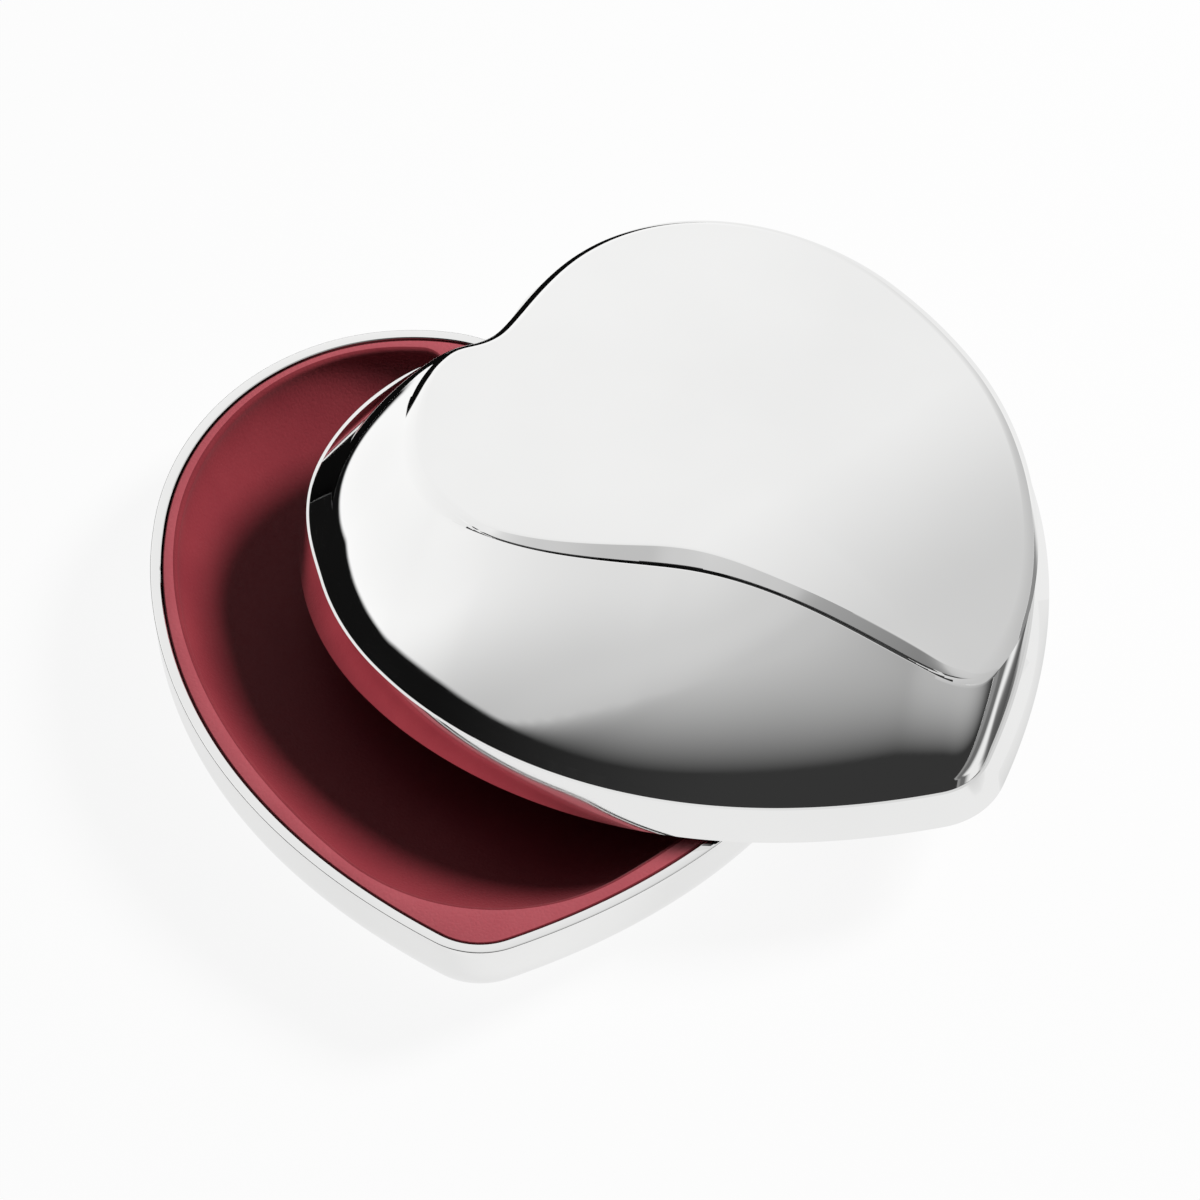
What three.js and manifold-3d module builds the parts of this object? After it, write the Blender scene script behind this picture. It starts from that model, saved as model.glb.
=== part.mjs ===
// Heart pill box: a polished metal tray with a red liner, and a mirror-polished lid that swivels on a
// hidden pivot near the cleft. Millimetres, +Z up. The origin is on the flat underside, under the
// middle of the tray's heart; +Y runs from there to the cleft and the heart's point is at -Y.
import * as THREE from 'three';
import * as BufferGeometryUtils from 'three/addons/utils/BufferGeometryUtils.js';
import Module from 'manifold-3d';

const wasm = await Module();
wasm.setup();

// The heart that the tray's rim and the lid's lower edge share
const HALF_WIDTH = 27.5;
const POINT_Y = -36.0;
const POINT_R = 6.1;
const POINT_TURN = 27.9;
const WAIST_Y = 1.15;
const LOBE_X = 8.2;
const LOBE_Y = 21.8;
const CLEFT_Y = 19.7;
const LOBE_REACH = 5.1;
const CLEFT_REACH = 2.5;
const SIDE_REACH = 28.8;
const WAIST_REACH = 2.0;
const LOBE_SIDE_UP = 0.537;
const LOBE_SIDE_OUT = 0.59;

// Steps along each run of a heart's half: its side, its lobe and the way into its cleft
const SIDE_STEPS = 25;
const LOBE_STEPS = 16;
const CLEFT_STEPS = 7;
const BELLY_STEPS = 7;
const CAVITY_STEPS = 6;
const BOWL_STEPS = 7;
const POST_SIDES = 40;
const FAN_Y = -5;

// Tray
const BASE_H = 7.3;
const RIM_W = 0.79;
const RIM_EDGE = 0.12;
const WALL_LEAN = 0.2;
const BELLY_H = 4.6;
const BELLY_W = 5.0;
const FLOOR_T = 1.0;
const BOSS_R = 3.2;

// How far a cutter runs past what it cuts, and how deep a joined piece is let in
const CUT = 1;
const JOIN = 0.5;

// Liner
const FIT_GAP = 0.3;
const LINER_DROP = 0.1;
const BOWL_POINT_Y = -32.0;
const BOWL_POINT_R = 16.0;
const BOWL_POINT_TURN = 40.0;
const BOWL_SIDE = 1.65;
const BOWL_NOTCH = 1.6;
const BOWL_LOBE_X = 9.0;
const BOWL_LOBE_REACH = 3.5;
const BOWL_CLEFT_REACH = 5.0;
const BOWL_SIDE_REACH = 12;
const BOWL_WAIST_REACH = 11;
const BOWL_ACROSS = 9.0;
const BOWL_FLOOR_T = 1.2;
const BOWL_LIP_R = 0.35;
const BOWL_REACH_SHARE = 0.2;
const BOWL_LOBE_SHARE = 0.15;
const BOWL_NOTCH_SHARE = 0.6;

// Pivot
const PIVOT_X = -0.54;
const PIVOT_Y = 14.6;
const TURN_AS_SHOWN = 45.7;
const POST_R = 1.6;
const COUNTERBORE_R = 2.8;
const COUNTERBORE_H = 2.9;
const WASHER_T = 0.4;
const WASHER_IN = 0.2;
const POST_SHORT = 0.1;
const SCREW_HEAD_R = 2.5;
const SCREW_HEAD_H = 0.8;
const SCREW_R = 0.8;
const SCREW_GRIP = 3.6;
const SLOT_W = 0.6;
const SLOT_D = 0.35;

// Lid
const LID_GAP = 0.3;
const SKIRT_H = 2.6;
const SKIRT_FLARE = 1.1;
const SKIRT_FLARE_CLEFT = 0.2;
const FLARE_FADE = 10;
const LEDGE_W = 0.28;
const LEDGE_RISE = 0.03;
const FLANK_FOOT_MORE = 16;
const FLANK_LIP_LESS = 12;
const FLANK_STEEPEST = 84;
const FLANK_GENTLEST = 4;
const FLANK_MIN_RUN = 0.2;
const FLANK_STEPS = 8;

// The lid's top: a tilted plane with a slight crown that bends down towards the point
const TOP_Z = 9.2;
const TOP_FALL_X = -0.05;
const TOP_FALL_Y = -0.14;
const TOP_CROWN = 0.25;
const TOP_CENTRE_X = 2.0;
const TOP_CENTRE_Y = -6.0;
const TOP_STEPS = 4;
const NOSE_Y = -10.0;
const NOSE_BEND = 0.0115;

// The top's outline by its anchors: where each lies, the way the curve runs through it in degrees,
// counter-clockwise, and how far it is drawn that way before and after.
const TOP_POINT = { x: 4.3, y: -31.2, way: 11, before: 4.0, after: 17.0 };
const TOP_RIGHT = { x: 24.4, y: 1.5, way: 90, before: 8.3, after: 9.0 };
const TOP_RIGHT_LOBE = { x: 9.5, y: 20.3, way: 180, before: 9.8, after: 4.2 };
const TOP_CLEFT = { x: -0.9, y: 17.9, way: 182, before: 1.7, after: 2.0 };
const TOP_LEFT_LOBE = { x: -5.3, y: 18.9, way: 187, before: 2.0, after: 5.1 };
const TOP_LEFT = { x: -16.5, y: 6.4, way: 270, before: 5.5, after: 7.5 };
const LIP_MIDDLE = { x: -7.4, y: -11.2, way: 306, before: 6.0, after: 8.8 };

// The strip inside the top's edge: rounded on the right, soft on the left lobe, and along the
// S-shaped lip a groove that widens to a crescent. Places on the lip are shares of its length.
const ROUND_W = 1.1;
const ROUND_DROP = 0.7;
const SOFT_W = 1.6;
const SOFT_DROP = 0.4;
const SOFT_FROM = 0.1;
const SOFT_TO = 0.5;
const LIP_W = 0.75;
const LIP_FADE = 0.12;
const CRESCENT_W = 2.5;
const CRESCENT_FROM = 0.05;
const CRESCENT_AT = 0.46;
const CRESCENT_TO = 0.8;
const GROOVE = 0.36;
const GROOVE_AT = 0.28;

// The lid's hollow and its lining
const LID_WALL = 1.6;
const LID_ROOF = 2.0;
const HOLLOW_IN = 1.0;
const LINING_T = 1.0;
const LINING_UP = 0.4;
const LID_BOSS_R = 3.2;

const rad = THREE.MathUtils.degToRad;

// Colours read from the photograph
const polished = new THREE.MeshStandardMaterial({ color: 0xe6e6e4, roughness: 0.06, metalness: 1.0 });
const plain = new THREE.MeshStandardMaterial({ color: 0xb8b8b6, roughness: 0.3, metalness: 1.0 });
const red = new THREE.MeshStandardMaterial({ color: 0x8a2631, roughness: 0.6, metalness: 0.0 });
const rubbing = new THREE.MeshStandardMaterial({ color: 0x2b2b2d, roughness: 0.5, metalness: 0.0 });

function bezier(a, b, c, d) {
  return new THREE.CubicBezierCurve(...[a, b, c, d].map((p) => new THREE.Vector2(...p)));
}

// Points at even distances along curves that follow each other, without the last point.
function spaced(curves, steps) {
  const path = new THREE.CurvePath();
  for (const c of curves) path.add(c);
  return path.getSpacedPoints(steps).slice(0, -1);
}

// A closed heart, counter-clockwise from its point. spec gives the point, its arc, the widest place,
// the lobe's top and the cleft.
function heart(spec) {
  const turn = rad(spec.pointTurn);
  const ax = spec.pointR * Math.sin(turn);
  const ay = spec.pointY + spec.pointR * (1 - Math.cos(turn));
  const tip = new THREE.EllipseCurve(
    0, spec.pointY + spec.pointR, spec.pointR, spec.pointR, -Math.PI / 2, turn - Math.PI / 2);
  const side = bezier(
    [ax, ay],
    [ax + spec.sideOut * Math.cos(turn), ay + spec.sideOut * Math.sin(turn)],
    [spec.halfWidth, spec.waistY - spec.sideIn],
    [spec.halfWidth, spec.waistY]);
  const lobe = bezier(
    [spec.halfWidth, spec.waistY],
    [spec.halfWidth, spec.waistY + LOBE_SIDE_UP * (spec.lobeY - spec.waistY)],
    [spec.lobeX + LOBE_SIDE_OUT * (spec.halfWidth - spec.lobeX), spec.lobeY],
    [spec.lobeX, spec.lobeY]);
  const cleft = bezier(
    [spec.lobeX, spec.lobeY],
    [spec.lobeX - spec.lobeReach, spec.lobeY],
    [spec.cleftReach, spec.cleftY],
    [0, spec.cleftY]);
  const right = [
    ...spaced([tip, side], SIDE_STEPS),
    ...spaced([lobe], LOBE_STEPS),
    ...spaced([cleft], CLEFT_STEPS),
    new THREE.Vector2(0, spec.cleftY),
  ];
  right[0].x = 0;
  const left = right.slice(1, -1).reverse().map((p) => new THREE.Vector2(-p.x, p.y));
  return right.concat(left);
}

const rimHeart = heart({
  pointY: POINT_Y, pointR: POINT_R, pointTurn: POINT_TURN, sideOut: SIDE_REACH,
  sideIn: WAIST_REACH, halfWidth: HALF_WIDTH, waistY: WAIST_Y, lobeX: LOBE_X, lobeY: LOBE_Y,
  cleftY: CLEFT_Y, lobeReach: LOBE_REACH, cleftReach: CLEFT_REACH,
});

// Moves each point of a closed curve inward by a distance, which may differ from point to point.
function inset(curve, distance) {
  return curve.map((p, i) => {
    const a = curve[(i + curve.length - 1) % curve.length];
    const b = curve[(i + 1) % curve.length];
    const n = new THREE.Vector2(a.y - b.y, b.x - a.x).normalize();
    const d = typeof distance === 'number' ? distance : distance[i];
    return new THREE.Vector2(p.x + n.x * d, p.y + n.y * d);
  });
}

// A closed curve as points at one height, or each at its own.
function ring(curve, z) {
  return curve.map((p, i) => new THREE.Vector3(p.x, p.y, typeof z === 'number' ? z : z[i]));
}

// A closed body from rings of equal count, from the first ring's centre outward, up and in to the last.
function loft(rings, centreX, centreY) {
  const n = rings[0].length;
  const position = [];
  for (const r of rings) for (const p of r) position.push(p.x, p.y, p.z);
  const last = rings.length - 1;
  position.push(centreX, centreY, rings[0][0].z);
  position.push(centreX, centreY, rings[last].centreZ ?? rings[last][0].z);
  const index = [];
  const low = rings.length * n;
  const high = low + 1;
  for (let k = 0; k < n; k += 1) {
    const m = (k + 1) % n;
    index.push(low, m, k);
    index.push(high, last * n + k, last * n + m);
    for (let j = 0; j < last; j += 1) {
      const a = j * n + k;
      const b = j * n + m;
      index.push(a, b, b + n);
      index.push(a, b + n, a + n);
    }
  }
  const g = new THREE.BufferGeometry();
  g.setAttribute('position', new THREE.Float32BufferAttribute(position, 3));
  g.setIndex(index);
  return g;
}

function toSolid(geometry) {
  const g = geometry.clone();
  g.deleteAttribute('normal');
  g.deleteAttribute('uv');
  const merged = BufferGeometryUtils.mergeVertices(g, 1e-5);
  return new wasm.Manifold(new wasm.Mesh({
    numProp: 3,
    vertProperties: new Float32Array(merged.attributes.position.array),
    triVerts: new Uint32Array(merged.index.array),
  }));
}

function toGeometry(solid) {
  const mesh = solid.getMesh();
  const g = new THREE.BufferGeometry();
  const xyz = [];
  for (let i = 0; i < mesh.vertProperties.length; i += mesh.numProp) {
    xyz.push(mesh.vertProperties[i], mesh.vertProperties[i + 1], mesh.vertProperties[i + 2]);
  }
  g.setAttribute('position', new THREE.Float32BufferAttribute(xyz, 3));
  g.setIndex(Array.from(mesh.triVerts));
  g.computeVertexNormals();
  return g;
}

// An upright cylinder at the pivot, from one height to another.
function post(radius, from, to) {
  const g = new THREE.CylinderGeometry(radius, radius, to - from, POST_SIDES);
  g.rotateX(Math.PI / 2);
  g.translate(PIVOT_X, PIVOT_Y, (from + to) / 2);
  return toSolid(g);
}

function piece(name, geometry, material) {
  const mesh = new THREE.Mesh(geometry, material);
  mesh.name = name;
  return mesh;
}

// Tray: rim band, drawn-in wall, rounded belly, flat underside, pivot boss
function belly(curve, first, width, height, top, steps) {
  const rows = [];
  for (let i = steps; i >= 0; i -= 1) {
    const t = (i / steps) * (Math.PI / 2);
    rows.push(ring(inset(curve, first + width * (1 - Math.cos(t))), top - height * Math.sin(t)));
  }
  return rows;
}

const trayOuter = belly(rimHeart, WALL_LEAN, BELLY_W, BELLY_H, BELLY_H, BELLY_STEPS);
const cavityW = BELLY_W - (RIM_W - WALL_LEAN);
const trayInner = belly(rimHeart, RIM_W, cavityW, BELLY_H - FLOOR_T, BELLY_H, CAVITY_STEPS).reverse();
const tray = loft([
  ...trayOuter,
  ring(rimHeart, BASE_H - RIM_EDGE),
  ring(inset(rimHeart, RIM_EDGE), BASE_H),
  ring(inset(rimHeart, RIM_W), BASE_H),
  ...trayInner,
], 0, FAN_Y);
const trayBlock = toSolid(loft([
  ...trayOuter,
  ring(inset(rimHeart, WALL_LEAN), BASE_H),
], 0, FAN_Y));
const bossBody = post(BOSS_R, 0, BASE_H).intersect(trayBlock);
const bore = post(POST_R + FIT_GAP, 0, BASE_H + CUT);
const counterbore = post(COUNTERBORE_R, -CUT, COUNTERBORE_H);
const trayBody = toSolid(tray).add(bossBody).subtract(bore).subtract(counterbore);

// Liner: flat rim face, rounded lip and egg-round bowl, cut round the boss
const linerTop = BASE_H - LINER_DROP;
const linerSide = RIM_W + FIT_GAP;
const linerBottom = FLOOR_T + FIT_GAP;
const bowlHeart = (shrink) => heart({
  pointY: BOWL_POINT_Y + shrink, pointR: BOWL_POINT_R - shrink, pointTurn: BOWL_POINT_TURN,
  sideOut: BOWL_SIDE_REACH - BOWL_REACH_SHARE * shrink,
  sideIn: BOWL_WAIST_REACH - BOWL_REACH_SHARE * shrink,
  halfWidth: HALF_WIDTH - BOWL_SIDE - shrink, waistY: WAIST_Y,
  lobeX: BOWL_LOBE_X + BOWL_LOBE_SHARE * shrink, lobeY: LOBE_Y - BOWL_SIDE - shrink,
  cleftY: PIVOT_Y - BOSS_R - FIT_GAP - BOWL_NOTCH - BOWL_NOTCH_SHARE * shrink,
  lobeReach: BOWL_LOBE_REACH, cleftReach: BOWL_CLEFT_REACH,
});
const bowlDepth = linerTop - linerBottom - BOWL_FLOOR_T;
const bowlRows = [];
bowlRows.push(ring(bowlHeart(0), linerTop));
for (let i = 1; i <= BOWL_STEPS; i += 1) {
  const t = (i / BOWL_STEPS) * (Math.PI / 2);
  const across = BOWL_LIP_R + BOWL_ACROSS * (1 - Math.cos(t));
  const down = BOWL_LIP_R + (bowlDepth - BOWL_LIP_R) * Math.sin(t);
  bowlRows.push(ring(bowlHeart(across), linerTop - down));
}
const linerOuterW = cavityW - FIT_GAP;
const linerOuter = belly(
  rimHeart, linerSide, linerOuterW, BELLY_H - linerBottom, BELLY_H, CAVITY_STEPS);
const linerBody = toSolid(loft([
  ...linerOuter,
  ring(inset(rimHeart, linerSide), linerTop),
  ...bowlRows,
], 0, FAN_Y)).subtract(post(BOSS_R + FIT_GAP, 0, BASE_H + CUT));

// Lid, drawn in its closed place over the tray, with z = 0 at its lower edge
function topZ(p) {
  const bend = NOSE_BEND * Math.max(0, NOSE_Y - p.y) ** 2;
  return TOP_Z + TOP_FALL_X * p.x + TOP_FALL_Y * p.y - bend;
}

// The top's outline, counter-clockwise from the point, in the same runs as a heart.
const topAnchors = [
  TOP_POINT, TOP_RIGHT, TOP_RIGHT_LOBE, TOP_CLEFT, TOP_LEFT_LOBE, TOP_LEFT, LIP_MIDDLE,
];
const [toRight, toRightLobe, toCleft, toLeftLobe, toLeft, toMiddle, toPoint] = topAnchors.map((a, i) => {
  const b = topAnchors[(i + 1) % topAnchors.length];
  return bezier(
    [a.x, a.y],
    [a.x + a.after * Math.cos(rad(a.way)), a.y + a.after * Math.sin(rad(a.way))],
    [b.x - b.before * Math.cos(rad(b.way)), b.y - b.before * Math.sin(rad(b.way))],
    [b.x, b.y]);
});
const topEdge = [
  ...spaced([toRight], SIDE_STEPS),
  ...spaced([toRightLobe], LOBE_STEPS),
  ...spaced([toCleft], CLEFT_STEPS),
  ...spaced([toLeftLobe], CLEFT_STEPS),
  ...spaced([toLeft], LOBE_STEPS),
  ...spaced([toMiddle, toPoint], SIDE_STEPS),
];

// The strip at each point of the top's edge: its width, its groove's depth and the edge's drop.
const { smoothstep, lerp } = THREE.MathUtils;
const lipStart = topEdge.length - SIDE_STEPS;
const strip = topEdge.map((p, k) => {
  const lip = (k - lipStart) / SIDE_STEPS;
  const lobe = (k - lipStart + LOBE_STEPS) / LOBE_STEPS;
  const onLip = smoothstep(lip, 0, LIP_FADE) * (1 - smoothstep(lip, 1 - LIP_FADE, 1));
  const soft = smoothstep(lobe, SOFT_FROM, SOFT_TO) * (1 - smoothstep(lip, CRESCENT_AT, CRESCENT_TO));
  const wide = smoothstep(lip, CRESCENT_FROM, CRESCENT_AT) * (1 - smoothstep(lip, CRESCENT_AT, CRESCENT_TO));
  const lipWidth = lerp(LIP_W, CRESCENT_W, wide);
  return {
    width: lerp(lerp(ROUND_W, SOFT_W, soft), lipWidth, onLip),
    groove: GROOVE * lipWidth * onLip,
    drop: lerp(ROUND_DROP, SOFT_DROP, soft) * (1 - onLip),
  };
});
const topEdgeZ = topEdge.map((p, k) => topZ(p) - strip[k].drop);

// The shoulder keeps the skirt's flare, less of it beside the cleft.
const flare = rimHeart.map((p) => (
  lerp(SKIRT_FLARE, SKIRT_FLARE_CLEFT, smoothstep(p.y, WAIST_Y + FLARE_FADE, CLEFT_Y))));
const shoulder = inset(rimHeart, flare);
const ledge = inset(rimHeart, flare.map((d) => d + LEDGE_W));
const ledgeZ = SKIRT_H + LEDGE_RISE;

// One flank profile: it leaves the ledge more steeply than its mean slope and reaches the top gently.
function flankPoint(a, b, zb, t) {
  const run = Math.max(Math.hypot(b.x - a.x, b.y - a.y), FLANK_MIN_RUN);
  const rise = zb - ledgeZ;
  const mean = Math.atan2(rise, run);
  const foot = Math.tan(Math.min(mean + rad(FLANK_FOOT_MORE), rad(FLANK_STEEPEST)));
  const lip = Math.tan(Math.max(mean - rad(FLANK_LIP_LESS), rad(FLANK_GENTLEST)));
  const cr = (rise - lip * run) / (foot - lip) / run;
  const cz = (foot * cr * run) / rise;
  const r = 2 * (1 - t) * t * cr + t * t;
  const z = 2 * (1 - t) * t * cz + t * t;
  return new THREE.Vector3(a.x + (b.x - a.x) * r, a.y + (b.y - a.y) * r, ledgeZ + rise * z);
}

// Rings from a closed curve in towards the top's centre, at the top's height less a depth.
function fanRows(curve, depth, crown) {
  const centre = new THREE.Vector2(TOP_CENTRE_X, TOP_CENTRE_Y);
  const rows = [];
  for (let j = 0; j < TOP_STEPS; j += 1) {
    const s = j / TOP_STEPS;
    const at = curve.map((p) => p.clone().lerp(centre, s));
    rows.push(ring(at, at.map((p) => topZ(p) - depth + crown * (1 - (1 - s) ** 2))));
  }
  rows[TOP_STEPS - 1].centreZ = topZ(centre) - depth + crown;
  return rows;
}

const lidRows = [ring(rimHeart, 0), ring(shoulder, SKIRT_H)];
for (let j = 0; j < FLANK_STEPS; j += 1) {
  lidRows.push(ledge.map((p, k) => flankPoint(p, topEdge[k], topEdgeZ[k], j / FLANK_STEPS)));
}
lidRows.push(ring(topEdge, topEdgeZ));
const grooveLine = inset(topEdge, strip.map((s) => s.width * GROOVE_AT));
const roundedShare = 1 - Math.sqrt(1 - (1 - GROOVE_AT) ** 2);
lidRows.push(ring(grooveLine, grooveLine.map((p, k) => (
  topZ(p) - strip[k].groove - strip[k].drop * roundedShare))));
lidRows.push(...fanRows(inset(topEdge, strip.map((s) => s.width)), 0, TOP_CROWN));

// The hollow, open below: upright where the lining seats, then following the flank under the roof.
const liningSeat = LINING_UP + LINING_T + FIT_GAP;
const seatCurve = inset(rimHeart, LID_WALL);
const hollow = loft([
  ring(seatCurve, -CUT),
  ring(seatCurve, liningSeat),
  ring(inset(rimHeart, LID_WALL + HOLLOW_IN), SKIRT_H),
  ...fanRows(inset(topEdge, strip.map((s) => Math.max(s.width, LID_ROOF))), LID_ROOF, 0),
], TOP_CENTRE_X, TOP_CENTRE_Y);

// Heights of the pivot's pieces in the lid's own frame, whose z = 0 is LID_GAP above the rim.
const lidZ = BASE_H + LID_GAP;
const bossFoot = FIT_GAP + WASHER_T + FIT_GAP - LID_GAP;
const postFoot = COUNTERBORE_H + POST_SHORT - lidZ;
const lidBody = toSolid(loft(lidRows, TOP_CENTRE_X, TOP_CENTRE_Y))
  .subtract(toSolid(hollow))
  .add(post(LID_BOSS_R, bossFoot, topZ({ x: PIVOT_X, y: PIVOT_Y }) - LID_ROOF / 2))
  .add(post(POST_R, postFoot, bossFoot + JOIN))
  .subtract(post(SCREW_R + FIT_GAP, postFoot - CUT, postFoot + SCREW_GRIP + FIT_GAP));

// Lid lining: a flat red plate in the lid's mouth, cut round the lid's boss
const liningCurve = inset(seatCurve, FIT_GAP);
const liningBody = toSolid(loft([
  ring(liningCurve, LINING_UP),
  ring(liningCurve, LINING_UP + LINING_T),
], 0, FAN_Y)).subtract(post(LID_BOSS_R + FIT_GAP, LINING_UP - CUT, liningSeat + CUT));

// Washers and screw
const slipFoot = BASE_H + FIT_GAP;
const slipBody = post(LID_BOSS_R - WASHER_IN, slipFoot, slipFoot + WASHER_T)
  .subtract(post(POST_R + FIT_GAP, slipFoot - CUT, slipFoot + WASHER_T + CUT));
const springFoot = COUNTERBORE_H - FIT_GAP - WASHER_T;
const springBody = post(SCREW_HEAD_R, springFoot, springFoot + WASHER_T)
  .subtract(post(SCREW_R + FIT_GAP, springFoot - CUT, springFoot + WASHER_T + CUT));
const headTop = springFoot - FIT_GAP;
const headFoot = headTop - SCREW_HEAD_H;
const slot = new THREE.BoxGeometry(2 * (SCREW_HEAD_R + CUT), SLOT_W, 2 * SLOT_D);
slot.translate(PIVOT_X, PIVOT_Y, headFoot);
const screwBody = post(SCREW_HEAD_R, headFoot, headTop)
  .add(post(SCREW_R, headTop - JOIN, COUNTERBORE_H + POST_SHORT + SCREW_GRIP))
  .subtract(toSolid(slot));

// Assembly
const group = new THREE.Group();
group.add(piece('base_shell', toGeometry(trayBody), polished));
group.add(piece('base_liner', toGeometry(linerBody), red));
group.add(piece('slip_washer', toGeometry(slipBody), rubbing));
group.add(piece('spring_washer', toGeometry(springBody), plain));

// The lid turns about the pivot; as shown it stands TURN_AS_SHOWN degrees from closed.
const swivel = new THREE.Group();
swivel.position.set(PIVOT_X, PIVOT_Y, 0);
swivel.rotation.z = rad(TURN_AS_SHOWN);
const lid = new THREE.Group();
lid.position.set(-PIVOT_X, -PIVOT_Y, lidZ);
lid.add(piece('lid_shell', toGeometry(lidBody), polished));
lid.add(piece('lid_lining', toGeometry(liningBody), red));
const screwGroup = new THREE.Group();
screwGroup.position.set(-PIVOT_X, -PIVOT_Y, 0);
screwGroup.add(piece('pivot_screw', toGeometry(screwBody), plain));
swivel.add(lid);
swivel.add(screwGroup);
group.add(swivel);

export default group;
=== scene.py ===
"""Heart pill box: the looks. Mirror-polished metal tray and lid, red leather-grained liner.

Lengths are in millimetres in the part's own frame and go to metres in make(). The lid is drawn closed, with
z = 0 at its lower edge, and then turned about the pivot to where it stands at rest. The studio at the end is
in metres. Directions are in degrees: azimuth counter-clockwise from +X and elevation up from the floor.
"""
import math
from functools import cache

import bmesh
import bpy
import numpy as np
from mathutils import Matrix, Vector

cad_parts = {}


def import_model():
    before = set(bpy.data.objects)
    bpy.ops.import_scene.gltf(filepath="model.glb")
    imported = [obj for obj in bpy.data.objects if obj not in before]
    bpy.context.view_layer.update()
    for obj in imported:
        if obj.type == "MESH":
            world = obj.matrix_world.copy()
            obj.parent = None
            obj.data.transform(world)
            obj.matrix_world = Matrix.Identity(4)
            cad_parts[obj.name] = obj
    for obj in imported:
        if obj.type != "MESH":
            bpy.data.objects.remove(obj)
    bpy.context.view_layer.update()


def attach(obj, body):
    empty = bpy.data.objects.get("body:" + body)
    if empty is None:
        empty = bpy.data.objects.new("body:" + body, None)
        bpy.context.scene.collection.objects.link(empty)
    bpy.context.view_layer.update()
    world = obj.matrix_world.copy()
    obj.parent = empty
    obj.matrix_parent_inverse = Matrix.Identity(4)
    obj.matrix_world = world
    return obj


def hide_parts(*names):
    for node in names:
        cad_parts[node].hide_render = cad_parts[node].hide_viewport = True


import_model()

MM = 0.001

# The heart that the tray's rim and the lid's lower edge share
HALF_WIDTH = 27.5
RIM_HEART = dict(
    point_y=-36.0, point_r=6.1, point_turn=27.9, side_reach=28.8, waist_reach=2.0,
    half_width=HALF_WIDTH, waist_y=1.15, lobe_x=8.2, lobe_y=21.8, cleft_y=19.7,
    lobe_reach=5.1, cleft_reach=2.5)
LOBE_SIDE_UP = 0.537
LOBE_SIDE_OUT = 0.59
HEART_CENTRE = (0, -5)

# How finely things are drawn: points along a closed curve, from the point by the side and the lobe to the
# cleft and back, then the points that its curves are first taken from, and the steps of round forms
RUN_STEPS = (132, 84, 24)
COUNT = 2 * sum(RUN_STEPS)
SPACE_BLUR = 30
ARC_POINTS = 200
SIDE_POINTS = 1500
CLEFT_POINTS = 800
TOP_RUN_POINTS = 900
CIRCLE_POINTS = 96
BELLY_STEPS = 20
CAVITY_STEPS = 14
LINER_STEPS = 10
BOWL_STEPS = 26
ROUND_STEPS = 4
QUARTER = [(i / ROUND_STEPS) * math.pi / 2 for i in range(ROUND_STEPS + 1)]

# Edges sharper than this many degrees stay sharp, and points closer than this many metres are one
CRISP = 40
WELD = 1e-7

# How far joined solids run into each other, and how far a cutter goes beyond what it cuts
OVERLAP = 0.5
BEYOND = 1

# Tray and liner
BASE_H = 7.3
RIM_W = 0.79
RIM_EDGE = 0.12
SMALL_EDGE = 0.06
WALL_LEAN = 0.2
WALL_SHARES = (0.35, 0.7)
BELLY_H = 4.6
BELLY_W = 5.0
FLOOR_T = 1.0
BOSS_R = 3.2
SEAM = 0.15
LINER_DROP = 0.1
LEATHER_EDGE = 0.1
FIT_GAP = 0.3
BOWL_POINT_Y = -32.0
BOWL_POINT_R = 16.0
BOWL_POINT_TURN = 40.0
BOWL_SIDE = 1.65
BOWL_SIDE_REACH = 12
BOWL_WAIST_REACH = 11
BOWL_LOBE_X = 9.0
BOWL_LOBE_REACH = 3.5
BOWL_CLEFT_REACH = 5.0
BOWL_NOTCH = 1.6
BOWL_REACH_SHARE = 0.2
BOWL_LOBE_SHARE = 0.15
BOWL_NOTCH_SHARE = 0.6
BOWL_LIP_R = 0.35
BOWL_ACROSS = 9.0
BOWL_FLOOR_Z = 2.5

# Pivot and how far the lid is turned at rest
PIVOT = (-0.54, 14.6)
TURN_AS_SHOWN = 45.7
LID_Z = 7.6
POST_R = 1.6
COUNTERBORE_R = 2.8
COUNTERBORE_H = 2.9
WASHER_T = 0.4
WASHER_R = 3.0
SCREW_HEAD_R = 2.5
SCREW_HEAD_H = 0.8
SCREW_R = 0.8
SCREW_GRIP = 3.6
SLOT_LONG = 2.5
SLOT_W = 0.6
SLOT_D = 0.35
POST_FOOT = 3.0

# Lid
SKIRT_H = 2.6
SKIRT_FLARE = 1.1
SKIRT_FLARE_CLEFT = 0.2
FLARE_FADE = 10.0
SKIRT_EDGE = 0.1
SKIRT_EDGE_SHARE = 0.12
SKIRT_SHARES = (0.3, 0.6, 0.9, 1)
LEDGE_W = 0.2
LEDGE_UP = 0.03
LEDGE_SHARES = (0.3, 0.6, 0.97)
FLANK_UP = 0.04
FOOT_H = 0.55
FOOT_MORE_BEHIND = 2.8
FOOT_GROWS_FROM = 0.3
FOOT_MOST = 0.95
FOOT_STEEPER = 5
FLANK_LOW_MORE = 8
FLANK_LIP_LESS = 15
FLANK_EASE = 1.7
FLANK_STEPS = 60
FLANK_LEAST_RUN = 0.2
FLANK_SHIFT = 80.0
FLANK_TRIES = 40
FLANK_SLOPES = (math.radians(5), math.radians(88))
LID_CRISP = 17
LID_WALL = 1.6
LID_ROOF = 2.0
HOLLOW_IN = 1.0
LINING_UP = 0.4
LINING_T = 1.0
LID_BOSS_R = 3.2
LID_BOSS_FOOT = 0.7
TOP_Z = 9.2
TOP_FALL = (-0.05, -0.14)
TOP_CROWN = 0.25
TOP_CENTRE = (2.0, -6.0)
NOSE_Y = -10.0
NOSE_BEND = 0.0115
FAN_TO = 0.98
TOP_STEPS = 40
ROOF_STEPS = 8

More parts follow.
